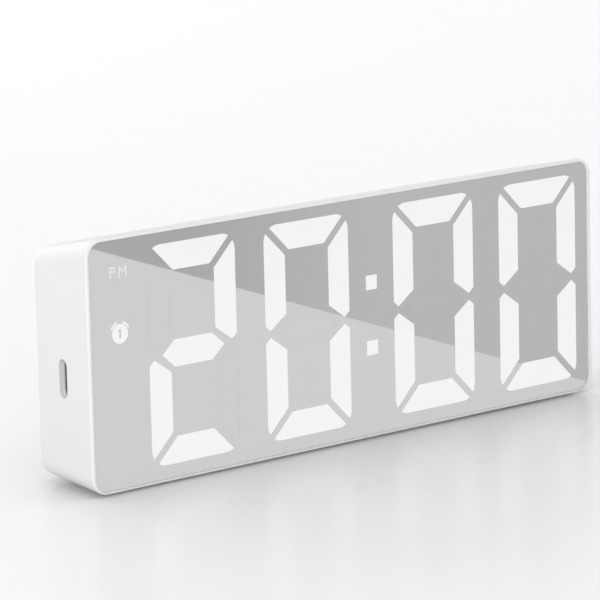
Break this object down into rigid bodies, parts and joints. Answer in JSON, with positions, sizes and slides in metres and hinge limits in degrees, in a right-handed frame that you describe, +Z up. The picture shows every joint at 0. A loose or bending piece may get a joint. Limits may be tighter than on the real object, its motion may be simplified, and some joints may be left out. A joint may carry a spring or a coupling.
{
  "type": "digital desk clock",
  "caption": "Slim white desk clock with a half-mirror front, lit seven-segment time, USB-C inlet in its side, rear keys and a hinged battery door.",
  "frame": {"origin": "on the table, under the middle of the case", "axes": "+X to the right of someone facing the clock, +Y from its front to its back, +Z up"},
  "size_m": [0.1596, 0.024, 0.0604],
  "materials": {
    "white_abs": "fine moulded satin",
    "clear_acrylic": "polished",
    "half_mirror": "half-silvered film",
    "lit_diffuser": "lit from behind",
    "dark_diffuser": "unlit, behind half mirror",
    "dim_sign": "dimly lit",
    "reflector_white": "matt",
    "circuit_board": "solder mask",
    "led_body": "moulded",
    "zinc_steel": "zinc plated",
    "nickel_strip": "nickel plated",
    "nickel_shell": "nickel plated",
    "tinned_lead": "tinned",
    "aluminium_can": "drawn",
    "black_plastic": "moulded",
    "gold_contact": "gold plated",
    "key_abs": "satin",
    "switch_stem_plastic": "moulded",
    "grey_rubber": "matt"
  },
  "bodies": {
    "case": {"rear_shell": "white_abs", "front_lens": "clear_acrylic", "mirror_film": "half_mirror", "lit_segments": "lit_diffuser", "unlit_segments": "dark_diffuser", "colon_windows": "lit_diffuser", "alarm_sign": "lit_diffuser", "pm_sign": "dim_sign", "light_box": "reflector_white", "display_board": "circuit_board", "segment_leds": "led_body", "case_screws": "zinc_steel", "board_screws": "zinc_steel", "positive_contacts": "nickel_strip", "negative_contacts": "nickel_strip", "switch_bodies": "black_plastic", "clock_chip": "black_plastic", "chip_leads": "tinned_lead", "clock_crystal": "tinned_lead", "supply_capacitor": "aluminium_can", "chip_resistors": "black_plastic", "sounder": "black_plastic", "usb_socket_shell": "nickel_shell", "usb_socket_tongue": "black_plastic", "usb_contacts": "gold_contact", "rubber_feet": "grey_rubber"},
    "set_key": {"set_key": "key_abs", "set_switch_stem": "switch_stem_plastic"},
    "up_key": {"up_key": "key_abs", "up_switch_stem": "switch_stem_plastic"},
    "down_key": {"down_key": "key_abs", "down_switch_stem": "switch_stem_plastic"},
    "alarm_key": {"alarm_key": "key_abs", "alarm_switch_stem": "switch_stem_plastic"},
    "battery_door": {"battery_door": "white_abs"}
  },
  "joints": [
    {"name": "set_press", "type": "slide", "parent": "case", "child": "set_key", "axis": [0, -1, 0], "range_m": [0, 0.0004], "stiffness_N_per_m": 2000},
    {"name": "up_press", "type": "slide", "parent": "case", "child": "up_key", "axis": [0, -1, 0], "range_m": [0, 0.0004], "stiffness_N_per_m": 2000},
    {"name": "down_press", "type": "slide", "parent": "case", "child": "down_key", "axis": [0, -1, 0], "range_m": [0, 0.0004], "stiffness_N_per_m": 2000},
    {"name": "alarm_press", "type": "slide", "parent": "case", "child": "alarm_key", "axis": [0, -1, 0], "range_m": [0, 0.0004], "stiffness_N_per_m": 2000},
    {"name": "battery_door_hinge", "type": "hinge", "parent": "case", "child": "battery_door", "pos_m": [0.02888, 0.0109, 0.01155], "axis": [-1, 0, 0], "range_deg": [0, 95]}
  ]
}
